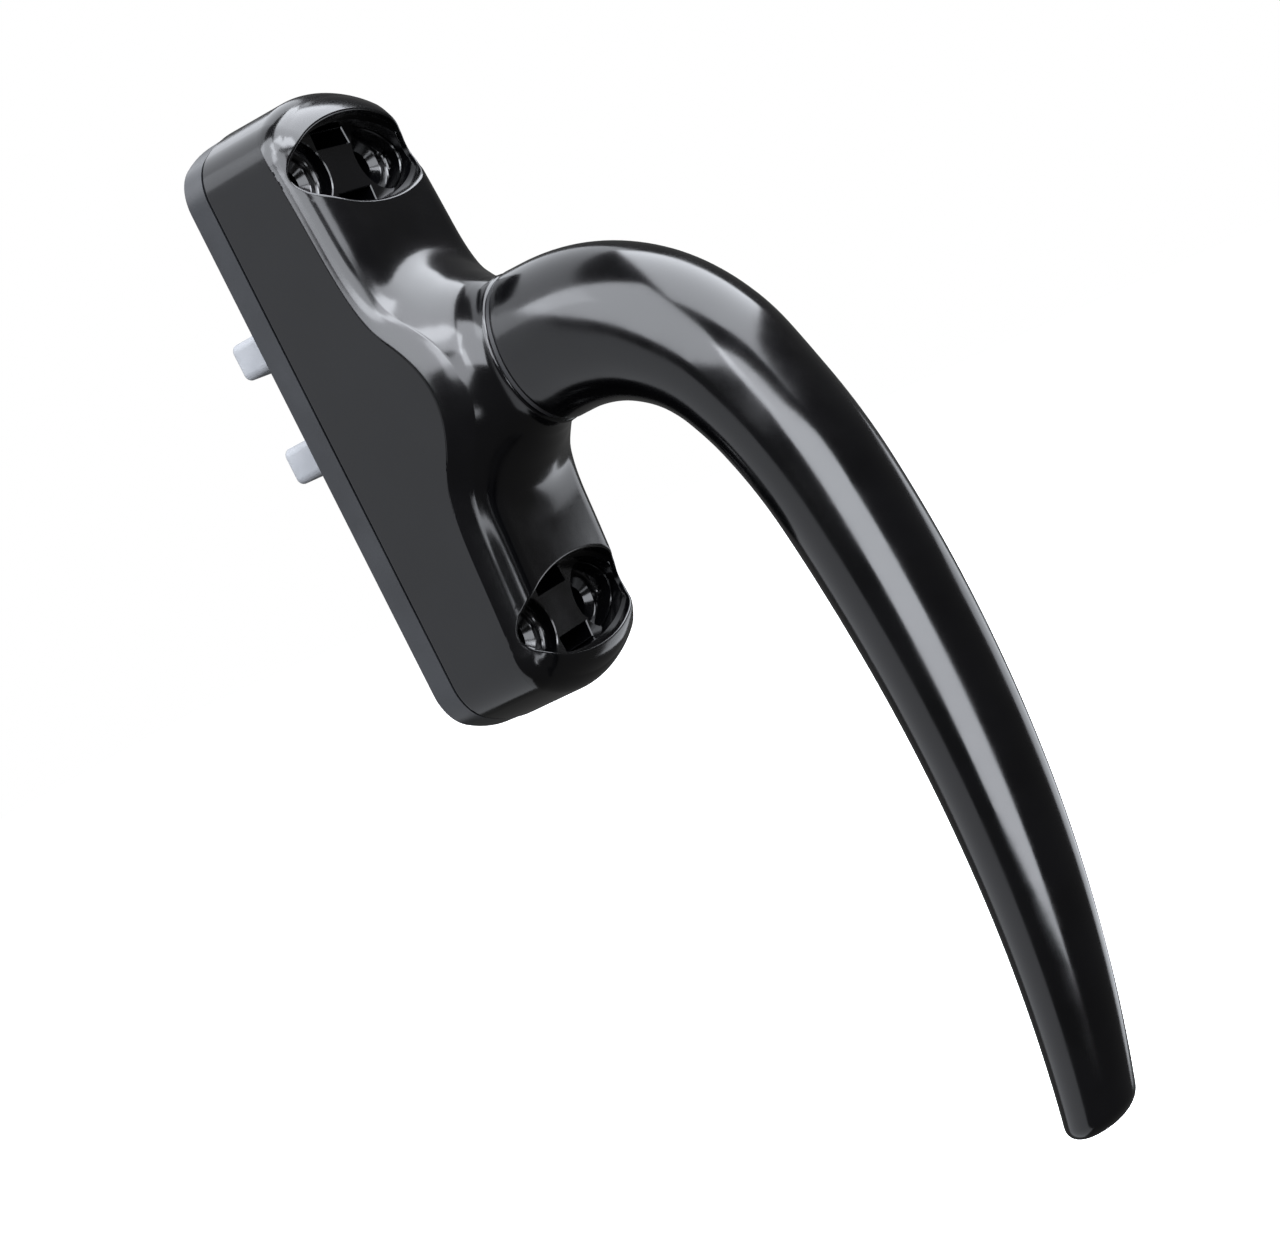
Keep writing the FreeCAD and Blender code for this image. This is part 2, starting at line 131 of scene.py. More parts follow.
MATERIALS = {
    "black_paint": coated("gloss_black", (0.0006, 0.0006, 0.0008), (0.0012, 0.0012, 0.0015),
                          (0.13, 0.18), (0.05, 0.04)),
    "plate_grey": coated("plate_grey", (0.0085, 0.0090, 0.0105), (0.0130, 0.0138, 0.0158), (0.28, 0.36),
                         (0.15, 0.30), 1800.0),
    "black_nylon": coated("black_nylon", (0.008, 0.008, 0.009), (0.013, 0.013, 0.014), (0.40, 0.50),
                          (0.10, 0.25)),
    "zinc_steel": metal("zinc_steel", (0.50, 0.52, 0.55), (0.62, 0.64, 0.66), (0.28, 0.42),
                        (1, 1, 0.15), 0.25),
    "bright_steel": metal("bright_steel", (0.60, 0.61, 0.62), (0.70, 0.71, 0.72), (0.15, 0.25),
                          (1, 0.2, 1), 0.15),
    "black_steel": metal("black_steel", (0.03, 0.03, 0.03), (0.05, 0.05, 0.05), (0.35, 0.5),
                         (1, 1, 0.3), 0.2),
    "cast_grey": coated("cast_grey", (0.170, 0.176, 0.188), (0.238, 0.244, 0.256), (0.40, 0.52),
                        (0.25, 0.35), 1500.0),
}
for part in frame["record"]["subparts"]:
    obj = nodes[part["node"]]
    obj.data.materials.clear()
    obj.data.materials.append(MATERIALS[part["material_slot"]])


# ---------------------------------------------------------------- shape helpers (millimetres)

def steady_curve(points):
    # A smooth curve through (position, value) pairs that never overshoots between them.
    xs = [p[0] for p in points]
    ys = [p[1] for p in points]
    rise = [(ys[i + 1] - ys[i]) / (xs[i + 1] - xs[i]) for i in range(len(xs) - 1)]
    slope = [rise[0]]
    for before, after in zip(rise, rise[1:]):
        slope.append(2 * before * after / (before + after) if before * after > 0 else 0.0)
    slope.append(rise[-1])

    def value(x):
        x = min(max(x, xs[0]), xs[-1])
        i = 0
        while i < len(xs) - 2 and x > xs[i + 1]:
            i += 1
        wide = xs[i + 1] - xs[i]
        t = (x - xs[i]) / wide
        return ((1 + 2 * t) * (1 - t) ** 2 * ys[i] + t * (1 - t) ** 2 * wide * slope[i]
                + t * t * (3 - 2 * t) * ys[i + 1] - t * t * (1 - t) * wide * slope[i + 1])
    return value


def smoothstep(x):
    x = min(max(x, 0.0), 1.0)
    return x * x * (3 - 2 * x)


def smooth_max(a, b, reach):
    return max(a, b) + max(0.0, reach - abs(a - b)) ** 2 / (4 * reach)


def roll(distance, radius):
    # How far a rounded edge has dropped at this distance in from the edge.
    if distance >= radius:
        return 0.0
    return radius - math.sqrt(max(0.0, radius ** 2 - (radius - max(distance, 0.0)) ** 2))


def room(x, h, z):
    return (0, 1, 0)


def back(x, h, z):
    return (0, -1, 0)


def outward(x0=0.0, z0=0.0):
    return lambda x, h, z: (x - x0, 0, z - z0)


def inward(x0=0.0, z0=0.0):
    return lambda x, h, z: (x0 - x, 0, z0 - z)


class Patchwork:
    """Collects patches of mesh and makes one object of them. Points are (x, height, z) in mm."""

    def __init__(self):
        self.points = []
        self.normals = []
        self.faces = []
        self.smooth = []

    def add(self, points, faces, facing, normals=None, smooth=True):
        # facing(x, height, z) gives the direction that the faces look towards, as (x, height, z).
        start = len(self.points)
        used = sorted({i for f in faces for i in f})
        place = {i: start + k for k, i in enumerate(used)}
        for face in faces:
            corners = [Vector(points[i]) for i in face]
            normal = (corners[1] - corners[0]).cross(corners[-1] - corners[0])
            # Heights run towards -Y, so a face that looks right here is left-handed.
            if normal.dot(Vector(facing(*(sum(corners, Vector()) / len(corners))))) > 0:
                face = face[::-1]
            self.faces.append([place[i] for i in face])
        self.points += [points[i] for i in used]
        self.normals += [normals[i] if normals else (0, 0, 0) for i in used]
        self.smooth += [smooth] * len(faces)

    def strip(self, first, second, facing, smooth=True, normals=None):
        # A closed band between two loops of equal length.
        n = len(first)
        if smooth:
            faces = [[i, (i + 1) % n, n + (i + 1) % n, n + i] for i in range(n)]
            self.add(first + second, faces, facing, None if normals is None else normals + normals)
            return
        for i in range(n):
            j = (i + 1) % n
            self.add([first[i], first[j], second[j], second[i]], [[0, 1, 2, 3]], facing, smooth=False)

    def flat(self, loops, height, inside, facing):
        # A level face bounded by plan loops, kept where inside(x, z) says so.
        points = []
        edges = []
        for loop in loops:
            start = len(points)
            points += [Vector(p) for p in loop]
            edges += [(start + i, start + (i + 1) % len(loop)) for i in range(len(loop))]
        verts, _, faces, _, _, _ = delaunay_2d_cdt(points, edges, [], 0, 1e-5)
        kept = [f for f in faces if inside(*(sum((verts[i] for i in f), Vector((0, 0))) / 3))]
        self.add([(v.x, height, v.y) for v in verts], kept, facing, smooth=False)

    def build(self, name, material):
        mesh = bpy.data.meshes.new(name)
        mesh.from_pydata([(x * MM, -h * MM, z * MM) for x, h, z in self.points], [], self.faces)
        mesh.polygons.foreach_set("use_smooth", self.smooth)
        obj = bpy.data.objects.new(name, mesh)
        bpy.context.scene.collection.objects.link(obj)
        mesh.normals_split_custom_set_from_vertices(self.normals)
        mesh.materials.append(material)
        return obj


# ---------------------------------------------------------------- base housing

HALF_WIDTH, HALF_LENGTH = 17.99, 52.29      # plan outline: straight sides, round corners, bulging ends
CORNER, END = 8.0, 29.0                     # radii of the corners and of the bulging ends
END_Z = HALF_LENGTH - END
CORNER_X = HALF_WIDTH - CORNER
CORNER_Z = END_Z + math.sqrt((END - CORNER) ** 2 - CORNER_X ** 2)
SPLIT = math.atan2(CORNER_Z - END_Z, CORNER_X)
BOTTOM = 4.3                                # height of the foot, above the seam with the back plate
FOOT_ROUND = 0.3
DRAFT = 0.045                               # lean of the side wall
WALL, WALL_SLOPE, WALL_FALL = 19.5, 0.05, 1.4
WALL_ROUND = 0.35                           # tiny rounding where the side wall ends

CROWN_HALF = 17.4                           # half width over which the crown is arched
ARM_RISE = 0.5                              # arch of the crown on the arms
CROWN_RISE, CROWN_FROM, CROWN_OVER = 3.1, 38.0, 12.0
END_ROUND, END_FROM, END_OVER = 4.4, 40.0, 10.0

NECK_RADIUS, NECK_TOP = 12.5, 35.4
RIM = 0.55                                  # rounding of the neck's rim and of the lever's root
FLARE_REACH = 41.0
FLARE_WIDENING = 0.055                      # the flare is wider across than along by this share
FLARE_EDGE = 2.0
FLARE_BLEND = 4.0

RECESS_Z = 38.8                             # middle of each recess, and half sizes of its opening
OPENING = (16.3, 7.4)
LIP = 0.5
LEDGE = 19.6
WELL = (15.7, 6.9)
WELL_TAPER = 0.006
FLOOR = 17.4
CRISP = 0.16                                # chamfer round whatever is sunk into the recess floor
SLOT_HALF, SLOT_NEAR, SLOT_FAR, SLOT_DEPTH = 4.4, 3.8, 6.7, 8.0
SCREW_Z = 39.4
SEAT_X, SEAT_RADIUS, SEAT = 9.8, 5.63, 14.4
SEAT_ROUND = 1.3
SINK_RADIUS, HOLE_RADIUS = 3.9, 2.7
SINK_ROUND = 0.08
PLATE_SCREWS = (14.0, 30.0, 1.25, 12.6)     # x, z, radius and top of the blind holes

CAVITY_X, CAVITY_Z, CAVITY_TOP = 12.6, 27.0, 18.0
BORE = 8.02

# Radius of the neck's flare against the height.
flare_radius = steady_curve([(13.2, 42), (16.2, 33.6), (18.9, 26.2), (22.0, 21.3), (25.6, 18.2),
                             (28.6, 15.6), (31.6, 13.5), (34.2, 12.6), (35.4, 12.5)])


def flare_height(radius):
    low, high = 13.2, NECK_TOP
    for _ in range(26):
        middle = (low + high) / 2
        if flare_radius(middle) > radius:
            low = middle
        else:
            high = middle
    return low


def inset(x, z):
    # Distance inwards from the plan outline, counted no further than the corner radius.
    x, z = abs(x), abs(z)
    if z <= CORNER_Z and x >= CORNER_X:
        return HALF_WIDTH - x
    if math.atan2(z - END_Z, x) >= SPLIT:
        return min(CORNER, END - math.hypot(x, z - END_Z))
    if x >= CORNER_X:
        return CORNER - math.hypot(x - CORNER_X, z - CORNER_Z)
    return CORNER


def outside_opening(x, z):
    # Distance outwards from the edge of the nearer recess opening.
    a, b = OPENING
    z = abs(z) - RECESS_Z
    q = math.hypot(x / a, z / b)
    if q < 0.05:
        return -b
    return (q - 1) * q / math.hypot(x / a ** 2, z / b ** 2)


# Slope of the skin against the distance in from the side wall: a steep shoulder, a faint crease
# and a second softer shoulder that runs out into the nearly level crown.
shoulder_slope = steady_curve([(0.1, 1.9), (0.6, 1.3), (1.4, 0.84), (1.75, 0.64), (2.0, 0.64),
                               (2.4, 0.80), (3.0, 0.74), (4.2, 0.44), (5.4, 0.20), (7, 0.0)])
STEP = 0.05
SHOULDER_WIDTH = 7.9
shoulder_rise = [0.0]
for k in range(160):
    shoulder_rise.append(shoulder_rise[-1] + STEP * shoulder_slope((k + 0.5) * STEP))


def shoulder(edge):
    # Height above the side wall's top on the arms.
    edge = min(max(edge, 0.0), SHOULDER_WIDTH)
    k = int(edge / STEP)
    part = edge / STEP - k
    rise = shoulder_rise[k] * (1 - part) + shoulder_rise[k + 1] * part
    return rise + WALL_ROUND - roll(edge, WALL_ROUND)


def arm_wall(z):
    # Height of the side wall, which falls off towards the ends.
    return WALL - WALL_SLOPE * z - WALL_FALL * min(1.0, z / HALF_LENGTH) ** 6


def flare_at(x, z):
    radius = math.hypot(x, z)
    if radius > FLARE_REACH:
        return 0.0
    off_neck = smoothstep((radius - NECK_RADIUS) / 5)
    return flare_height(radius - FLARE_WIDENING * x * x / radius * off_neck)


def merge(x, z, arm, flare):
    reach = 0.01 + FLARE_BLEND * smoothstep((math.hypot(x, z) - NECK_RADIUS) / 4)
    return smooth_max(arm, flare, reach) if flare > 0 else arm


def wall_height(x, z):
    return merge(x, z, arm_wall(abs(z)), flare_at(x, z) - shoulder(FLARE_EDGE))


def wall_inset(x, z):
    # The walls lean in a little, so they end this far inside the plan outline.
    return DRAFT * (wall_height(x, z) - BOTTOM)


def edge_distance(x, z):
    return inset(x, z) - wall_inset(x, z)


def arm_height(x, z, edge):
    # Shouldered along the arms, a plain large rounding at the ends.
    near_end = smoothstep((abs(z) - END_FROM) / END_OVER)
    end = max(0.0, (abs(z) - CROWN_FROM) / CROWN_OVER)
    out = min(1.0, (x / CROWN_HALF) ** 2 + end * end)
    dome = END_ROUND - roll(edge, END_ROUND) + CROWN_RISE * (1 - out)
    arm = shoulder(edge) + ARM_RISE * (1 - (x / CROWN_HALF) ** 2)
    return arm_wall(abs(z)) + dome * near_end + arm * (1 - near_end)


def skin_height(x, z):
    edge = edge_distance(x, z)
    arm = arm_height(x, z, edge)
    flare = flare_at(x, z) - shoulder(FLARE_EDGE) + shoulder(min(edge, FLARE_EDGE))
    return merge(x, z, arm, flare) - roll(outside_opening(x, z), LIP)


def skin_normal(x, z):
    edge = edge_distance(x, z)
    step = min(0.02, max(0.003, edge * 0.4))
    dx = (skin_height(x + step, z) - skin_height(x - step, z)) / (2 * step)
    dz = (skin_height(x, z + step) - skin_height(x, z - step)) / (2 * step)
    return Vector((-dx, -1.0, -dz)).normalized()


def ring_points(radius, count, x=0.0, z=0.0):
    turn = [2 * math.pi * i / count for i in range(count)]
    return [(x + radius * math.cos(t), z + radius * math.sin(t)) for t in turn]


def ellipse_points(half_x, half_z, count, z, grow=0.0):
    loop = []
    for i in range(count):
        t = 2 * math.pi * i / count
        nx, nz = math.cos(t) / half_x, math.sin(t) / half_z
        size = math.hypot(nx, nz)
        loop.append((half_x * math.cos(t) + grow * nx / size,
                     z + half_z * math.sin(t) + grow * nz / size))
    return loop


def outline_points():
    # (x, z, outward x, outward z) once round the plan outline, about 0.8 mm apart.
    loop = []
    for side in (1, -1):
        for i in range(106):
            loop.append((side * HALF_WIDTH, side * CORNER_Z * (i / 53 - 1), side, 0.0))
        for cx, cz, r, start, stop, count in (
                (CORNER_X, CORNER_Z, CORNER, 0.0, SPLIT, 14),
                (0.0, END_Z, END, SPLIT, math.pi - SPLIT, 36),
                (-CORNER_X, CORNER_Z, CORNER, math.pi - SPLIT, math.pi, 14)):
            for i in range(count):
                t = start + (stop - start) * i / count
                nx, nz = math.cos(t), math.sin(t)
                loop.append((side * (cx + r * nx), side * (cz + r * nz), side * nx, side * nz))
    return loop


OUTLINE = outline_points()


def border(depth):
    # The plan outline moved inwards by depth.
    return [(x - nx * depth, z - nz * depth) for x, z, nx, nz in OUTLINE]


def wall_top(depth):
    # The border where the leaning wall ends, and further in by depth.
    loop = []
    for x, z, nx, nz in OUTLINE:
        lean = wall_inset(x, z) + depth
        loop.append((x - nx * lean, z - nz * lean))
    return loop


def at_height(height, loop):
    return [(x, height, z) for x, z in loop]


def skin_plan(openings):
    # Plan points and fixed edges of the front skin: rings that follow its edges and a grid between.
    fixed = []
    edges = []

    def closed_loop(loop):
        start = len(fixed)
        fixed.extend(loop)
        edges.extend((start + i, start + (i + 1) % len(loop)) for i in range(len(loop)))

    closed_loop(wall_top(0.0))
    for side, opening in zip((-1, 1), openings):
        closed_loop(opening)
        for grow in (0.02, 0.07, 0.15, 0.26, 0.40, 0.56, 0.8, 1.15):
            loop = ellipse_points(*OPENING, 128, side * RECESS_Z, grow)
            fixed += [p for p in loop if edge_distance(*p) > 0.25]
    closed_loop(ring_points(NECK_RADIUS, 144))
    for extra in (0.01, 0.03, 0.07, 0.13, 0.22, 0.34, 0.5, 0.7, 0.95, 1.3, 1.7, 2.2, 2.8, 3.5, 4.3):
        fixed += [p for p in ring_points(NECK_RADIUS + extra, 144) if edge_distance(*p) > 2.5]
    for depth in (0.012, 0.04, 0.09, 0.16, 0.25, 0.37, 0.51, 0.68, 0.88, 1.1, 1.35, 1.65, 2.0, 2.4,
                  2.9, 3.5, 4.2):
        fixed += [p for p in wall_top(depth)
                  if outside_opening(*p) > (0.6 if depth < 0.6 else 1.3)
                  and math.hypot(*p) > NECK_RADIUS + (1.3 if depth < 2.5 else 4.4)]
    step = 0.8
    for i in range(-17, 18):
        for j in range(-61, 62):
            x, z = i * step, j * step
            if inset(x, z) > 5.2 and outside_opening(x, z) > 1.5 \
                    and math.hypot(x, z) > NECK_RADIUS + 4.7:
                fixed.append((x, z))
    return fixed, edges


def edge_normal(x, z):
    # Normal of a skin point; on an edge it belongs to the wall below, so that the edge looks round.
    if edge_distance(x, z) < 0.008:
        near = min(OUTLINE, key=lambda o: (o[0] - x) ** 2 + (o[1] - z) ** 2)
        return Vector((near[2], -DRAFT, near[3])).normalized()
    if outside_opening(x, z) < 0.01:
        along = z - math.copysign(RECESS_Z, z)
        return Vector((-x / OPENING[0] ** 2, 0, -along / OPENING[1] ** 2)).normalized()
    if math.hypot(x, z) < NECK_RADIUS + 0.005:
        return Vector((x, 0, z)).normalized()
    return skin_normal(x, z)


def make_front_skin(work, openings):
    fixed, edges = skin_plan(openings)
    verts, _, faces, _, _, _ = delaunay_2d_cdt([Vector(p) for p in fixed], edges, [], 0, 1e-5)
    kept = []
    for face in faces:
        x, z = sum((verts[i] for i in face), Vector((0, 0))) / 3
        if edge_distance(x, z) > 0 and outside_opening(x, z) > 0 \
                and math.hypot(x, z) > NECK_RADIUS - 0.01:
            kept.append(face)
    points = [(v.x, min(skin_height(v.x, v.y), NECK_TOP - RIM), v.y) for v in verts]
    work.add(points, kept, room, [edge_normal(v.x, v.y) for v in verts])


def make_side_wall(work):
    # Leaning wall with a small rounding at its foot.
    wall_normals = [Vector((nx, -DRAFT, nz)).normalized() for _, _, nx, nz in OUTLINE]
    top = [(x, wall_height(x, z), z) for x, z in wall_top(0.0)]
    work.strip(top, at_height(BOTTOM + FOOT_ROUND, border(0.0)), outward(), normals=wall_normals)
    rows = [(0.0, FOOT_ROUND), (0.03, 0.18), (0.1, 0.08), (FOOT_ROUND, 0.0)]
    for (d0, h0), (d1, h1) in zip(rows, rows[1:]):
        work.strip(at_height(BOTTOM + h0, border(d0)), at_height(BOTTOM + h1, border(d1)),
                   lambda x, h, z: (x, -20, z))


def make_underside(work, cavity):
    # Level face against the back plate, with the holes for the fixing and plate screws.
    plate_x, plate_z, plate_radius, plate_top = PLATE_SCREWS
    quarters = [(sx, sz) for sx in (-1, 1) for sz in (-1, 1)]
    holes = [(sx * SEAT_X, sz * SCREW_Z, HOLE_RADIUS) for sx, sz in quarters]
    blind = [(sx * plate_x, sz * plate_z, plate_radius) for sx, sz in quarters]

    def inside(x, z):
        clear = all(math.hypot(x - hx, z - hz) > r for hx, hz, r in holes + blind)
        return clear and inset(x, z) > 0.2 and not (abs(x) < CAVITY_X and abs(z) < CAVITY_Z)

    rings = [ring_points(r, 40, x, z) for x, z, r in holes + blind]
    work.flat([border(FOOT_ROUND), cavity] + rings, BOTTOM, inside, back)
    for (x, z, _), ring in zip(blind, rings[len(holes):]):
        work.strip(at_height(BOTTOM, ring), at_height(plate_top, ring), inward(x, z))


def make_gearbox(work, cavity):
    # Cavity, its ceiling, and the neck's bore and rounded rim.
    work.strip(at_height(BOTTOM, cavity), at_height(CAVITY_TOP, cavity), inward(), False)
    bore = ring_points(BORE, 96)
    work.flat([cavity, bore], CAVITY_TOP, lambda x, z: math.hypot(x, z) > BORE, back)
    work.strip(at_height(CAVITY_TOP, bore), at_height(NECK_TOP - 0.2, bore), inward())
    rim = [(BORE, NECK_TOP - 0.2), (8.2, NECK_TOP)]
    for turn in (0.01, 15, 30, 45, 60, 75, 90):
        a = math.radians(turn)
        rim.append((NECK_RADIUS - RIM + RIM * math.sin(a), NECK_TOP - RIM + RIM * math.cos(a)))
    for (r0, h0), (r1, h1) in zip(rim, rim[1:]):
        work.strip(at_height(h0, ring_points(r0, 144)), at_height(h1, ring_points(r1, 144)), room)


def pull_in(x, z, middle, most):
    # Keeps a point just inside the wall of the recess well whose middle is at this z.
    q = math.hypot(x / WELL[0], (z - middle) / WELL[1])
    if q > most:
        return x * most / q, middle + (z - middle) * most / q
    return x, z


def sunk_features(side):
    # (loops, facing, round or square, bottom) of the screw seats and clip slots in one recess floor.
    # Each has a crisp chamfer, so its loop on the floor is a little larger.
    middle = side * RECESS_Z
    screw_z = side * SCREW_Z
    sunk = []
    for sx in (-1, 1):
        loops = []
        for radius, most in ((SEAT_RADIUS + CRISP, 0.982), (SEAT_RADIUS, 0.97)):
            ring = ring_points(radius, 72, sx * SEAT_X, screw_z)
            loops.append([pull_in(x, z, middle, most) for x, z in ring])
        sunk.append((loops, inward(sx * SEAT_X, screw_z), True, SEAT))
    for end in (-1, 1):
        loops = []
        for grow, most in ((CRISP, 0.982), (0.0, 0.96)):
            half, near, far = SLOT_HALF + grow, SLOT_NEAR - grow, SLOT_FAR + grow
            corners = [(-half, near), (half, near), (half, far), (-half, far)]
            loops.append([pull_in(x, middle + end * z, middle, most) for x, z in corners[::end]])
        sunk.append((loops, inward(0.0, middle + end * 5.3), False, FLOOR - SLOT_DEPTH))
    return sunk


def make_screw_seat(work, side, x0, around):
    # Rounded out of its wall, level, then a countersink and the screw's hole.
    profile = []
    for k in range(9):
        a = math.pi / 2 * k / 8
        profile.append((SEAT_RADIUS - SEAT_ROUND * (1 - math.cos(a)),
                        SEAT + SEAT_ROUND * (1 - math.sin(a))))
    depth = SEAT - (SINK_RADIUS - HOLE_RADIUS)
    profile += [(SINK_RADIUS + SINK_ROUND, SEAT), (SINK_RADIUS - 0.06, SEAT - 0.1),
                (HOLE_RADIUS, depth), (HOLE_RADIUS, BOTTOM)]
    for (r0, h0), (r1, h1) in zip(profile, profile[1:]):
        rings = []
        for r, h in ((r0, h0), (r1, h1)):
            ring = ring_points(r, 72, x0, side * SCREW_Z)
            rings.append(at_height(h, [pull_in(x, z, side * RECESS_Z, 0.97) for x, z in ring]))
        work.strip(rings[0], rings[1], around if r0 == r1 else room)


def make_recess(work, side, opening):
    # Wall, ledge, and the well's floor with two screw seats and two clip slots.
    middle = side * RECESS_Z
    well = ellipse_points(*WELL, 128, middle)
    rim = [(x, skin_height(x, z), z) for x, z in opening]
    ledge = [(x, min(LEDGE, h - 0.3), z) for x, h, z in rim]
    inner = [(x, ledge[i][1], z) for i, (x, z) in enumerate(well)]
    shade = [Vector((-x, 0, -(z - middle) * 4)).normalized() for x, z in opening]
    inside = inward(0.0, middle)
    work.strip(rim, ledge, inside, normals=shade)
    work.strip(ledge, inner, room)
    lowered = [(x, h - 0.15, z + (middle - z) * WELL_TAPER) for x, h, z in inner]
    work.strip(inner, lowered, room)
    work.strip(lowered, [(x, FLOOR, z) for x, h, z in lowered], inside, normals=shade)

    def on_floor(x, z):
        if any(math.hypot(x - sx * SEAT_X, z - side * SCREW_Z) < SEAT_RADIUS + CRISP
               for sx in (-1, 1)):
            return False
        return not (abs(x) < SLOT_HALF + CRISP and abs(z - middle) > SLOT_NEAR - CRISP)

    sunk = sunk_features(side)
    floor_loop = [(x, z + (middle - z) * WELL_TAPER) for x, z in well]
    work.flat([floor_loop] + [loops[0] for loops, _, _, _ in sunk], FLOOR, on_floor, room)
    for (edge, loop), facing, is_round, bottom in sunk:
        work.strip(at_height(FLOOR, edge), at_height(FLOOR - CRISP, loop), room, is_round)
        start = bottom + SEAT_ROUND if is_round else bottom
        work.strip(at_height(FLOOR - CRISP, loop), at_height(start, loop), facing, is_round)
        if not is_round:
            work.flat([loop], bottom, lambda x, z: True, room)
    for sx, (_, around, _, _) in zip((-1, 1), sunk):
        make_screw_seat(work, side, sx * SEAT_X, around)


def make_housing():
    work = Patchwork()
    openings = [ellipse_points(*OPENING, 128, side * RECESS_Z) for side in (-1, 1)]
    cavity = [(-CAVITY_X, -CAVITY_Z), (CAVITY_X, -CAVITY_Z), (CAVITY_X, CAVITY_Z),
              (-CAVITY_X, CAVITY_Z)]
    make_front_skin(work, openings)
    make_side_wall(work)
    make_underside(work, cavity)
    make_gearbox(work, cavity)
    for side, opening in zip((-1, 1), openings):
        make_recess(work, side, opening)
    return work.build("housing_skin", MATERIALS["black_paint"])


housing = make_housing()
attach(housing, "base")
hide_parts("base_housing")


# ---------------------------------------------------------------- lever

LEVER_START = 36.2
# (length, curvature) of the middle line's stretches, from the root to past the tip.
BENDS = [(3.3, 0.0), (27.6 * math.radians(66.7), 1 / 27.6), (90 * math.radians(15), 1 / 90),
         (263 * math.radians(24.2), 1 / 263)]
half_thickness = steady_curve([(0, 12.45), (9, 12.3), (20, 11.7), (31, 10.7), (44, 9.75), (75, 9.25),
                               (110, 8.25), (140, 7.0), (166.5, 5.7)])
EXTRA_WIDTH = 0.15                          # the grip is this much wider than thick
TIP = (65.5, -144.6)                        # a point (height, z) of the slanting end face
TIP_SLOPE = math.radians(9)
TIP_ROUND = 2.6
SOCKET_HALF, SOCKET_TOP = 3.53, 54.3        # square socket for the spindle
GRUB_RADIUS, GRUB_HEIGHT = 2.1, 45.0
AROUND = 120                                # points round each ring


def centre_line(distance):
    # Point (height, z) and heading on the lever's middle; heading 0 points to the room.
    height, z, heading = LEVER_START, 0.0, 0.0
    for length, bend in BENDS:
        step = max(0.0, min(distance, length))
        distance -= length
        if bend == 0.0:
            height += step
            continue
        turned = heading + step * bend
        height += (math.sin(turned) - math.sin(heading)) / bend
        z -= (math.cos(heading) - math.cos(turned)) / bend
        heading = turned
        if distance <= 0:
            break
    return height, z, heading


def beyond_tip(distance):
    # How far the middle of the lever lies past the slanting end face.
    height, z, _ = centre_line(distance)
    return (height - TIP[0]) * math.sin(TIP_SLOPE) - (z - TIP[1]) * math.cos(TIP_SLOPE)


def find_tip():
    low, high = 100.0, sum(length for length, _ in BENDS)
    for _ in range(40):
        middle = (low + high) / 2
        if beyond_tip(middle) < 0:
            low = middle
        else:
            high = middle
    return low


TIP_AT = find_tip()


def lever_ring(distance, shrink=0.0):
    # Oval section, whose plane turns into that of the end face over the last stretch.
    height, z, heading = centre_line(distance)
    along = (math.cos(heading), -math.sin(heading))
    across = (-math.sin(heading), -math.cos(heading))
    full = math.pi / 2 - TIP_SLOPE - heading
    slant = full * smoothstep((distance - TIP_AT + 25) / 22)
    ring = []
    for i in range(AROUND):
        t = 2 * math.pi * i / AROUND
        thick = half_thickness(distance - half_thickness(distance) * math.tan(slant) * math.sin(t))
        wide = thick * (1 + EXTRA_WIDTH * smoothstep((distance - 8) / 40))
        nx, na = math.cos(t) / wide, math.sin(t) / thick
        size = math.hypot(nx, na)
        a = thick * math.sin(t) - shrink * na / size
        b = -a * math.tan(slant)
        ring.append((wide * math.cos(t) - shrink * nx / size,
                     height + a * across[0] + b * along[0], z + a * across[1] + b * along[1]))
    return ring


def socket_rings():
    # The square socket from its closed end down to a small chamfer at the root face.
    socket = []
    for i in range(AROUND):
        t = 2 * math.pi * i / AROUND
        c, n = math.cos(t), math.sin(t)
        reach = SOCKET_HALF / max(abs(c), abs(n))
        socket.append((reach * c, -reach * n))
    sizes = ((0.02, SOCKET_TOP), (1, SOCKET_TOP), (1, LEVER_START + 0.3), (1.08, LEVER_START))
    return [[(x * size, h, z * size) for x, z in socket] for size, h in sizes]


def root_rings():
    # The flat root face and the rounding of its rim.
    root = half_thickness(0)
    rings = []
    for turn in (-90, 0, 15, 30, 45, 60, 75, 90):
        a = math.radians(max(0, turn))
        r = root - RIM + RIM * math.sin(a) - (0.4 if turn < 0 else 0)
        h = LEVER_START + RIM * (1 - math.cos(a))
        rings.append([(r * math.cos(2 * math.pi * i / AROUND), h,
                       -r * math.sin(2 * math.pi * i / AROUND)) for i in range(AROUND)])
    return rings


def grip_rings(steps=170, tip_steps=12):
    # The whole grip, its rounded end and the end face.
    tilt = math.cos(math.pi / 2 - TIP_SLOPE - centre_line(TIP_AT)[2])
    last = TIP_AT - TIP_ROUND / tilt
    rings = [lever_ring(RIM + (last - RIM) * k / steps) for k in range(1, steps + 1)]
    for k in range(1, tip_steps + 1):
        turn = math.pi / 2 * k / tip_steps
        rings.append(lever_ring(TIP_AT - TIP_ROUND * (1 - math.sin(turn)) / tilt,
                                TIP_ROUND * (1 - math.cos(turn))))
    for shrink in (2.75, 3.2, 4.2, 5.2):
        rings.append(lever_ring(TIP_AT, shrink))
    return rings


